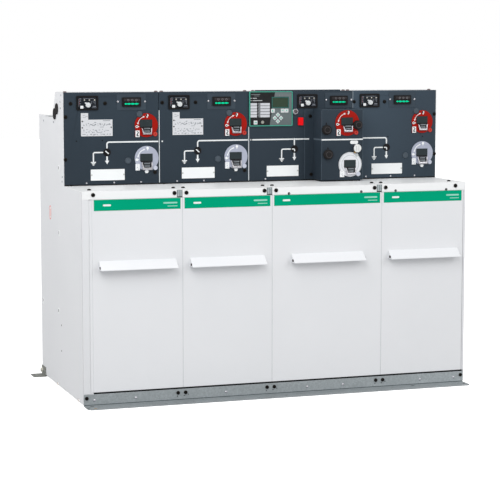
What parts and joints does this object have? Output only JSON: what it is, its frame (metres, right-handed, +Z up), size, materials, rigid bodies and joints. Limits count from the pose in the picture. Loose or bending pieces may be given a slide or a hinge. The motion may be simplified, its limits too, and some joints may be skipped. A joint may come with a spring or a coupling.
{
  "type": "gas-insulated ring main unit (breaker switchgear)",
  "caption": "Medium-voltage gas-insulated switchgear cabinet with switch bays and a breaker bay behind a slate control fascia, on a galvanised base.",
  "frame": {"origin": "centre of the footprint on the floor", "axes": "+X along the width, to the right of a person facing the controls; +Y from the control side to the back; +Z up"},
  "size_m": [1.632, 0.785, 1.146],
  "materials": {
    "white_powder_coat": "semi-gloss",
    "slate_powder_coat": "satin",
    "galvanised_steel": "spangled zinc",
    "stainless_tank_steel": "mill finish",
    "green_label_film": "gloss",
    "black_plastic": "fine texture",
    "white_plastic": "gloss",
    "slate_plastic": "satin",
    "red_plastic": "satin",
    "lilac_grey_plastic": "satin",
    "plated_steel": "bright zinc",
    "teal_plastic": "satin",
    "key_rubber": "matt",
    "signal_red_plastic": "gloss",
    "black_rubber": "matt",
    "label_plate": "printed satin"
  },
  "bodies": {
    "root": {"side_panel_left": "white_powder_coat", "side_panel_right": "white_powder_coat", "rear_panel": "white_powder_coat", "switch_tank": "stainless_tank_steel", "mechanism_cover": "white_powder_coat", "fascia_1": "slate_powder_coat", "fascia_2": "slate_powder_coat", "fascia_3": "slate_powder_coat", "fascia_4": "slate_powder_coat", "breaker_box": "slate_powder_coat", "shelf_1": "white_powder_coat", "shelf_2": "white_powder_coat", "shelf_3": "white_powder_coat", "shelf_4": "white_powder_coat", "frame_posts": "galvanised_steel", "cable_panel_1": "white_powder_coat", "cable_panel_2": "white_powder_coat", "cable_panel_3": "white_powder_coat", "cable_panel_4": "white_powder_coat", "handle_1": "white_powder_coat", "handle_2": "white_powder_coat", "handle_3": "white_powder_coat", "handle_4": "white_powder_coat", "label_bands": "green_label_film", "base_rail_front": "galvanised_steel", "base_rail_rear": "galvanised_steel", "rear_feet": "galvanised_steel", "corner_post": "white_powder_coat", "fault_indicators": "black_plastic", "indicator_knobs": "white_plastic", "voltage_plates": "slate_plastic", "voltage_modules": "black_plastic", "switch_discs": "red_plastic", "earthing_discs": "lilac_grey_plastic", "socket_shutters": "slate_plastic", "padlock_brackets": "plated_steel", "position_indicators": "black_plastic", "socket_plugs": "slate_plastic", "protection_relay": "teal_plastic", "relay_keys": "key_rubber", "relay_lamp": "plated_steel", "trip_button": "signal_red_plastic", "breaker_knobs": "black_rubber", "key_lock": "plated_steel", "label_holders": "label_plate", "cable_grommets": "black_rubber"}
  },
  "joints": []
}
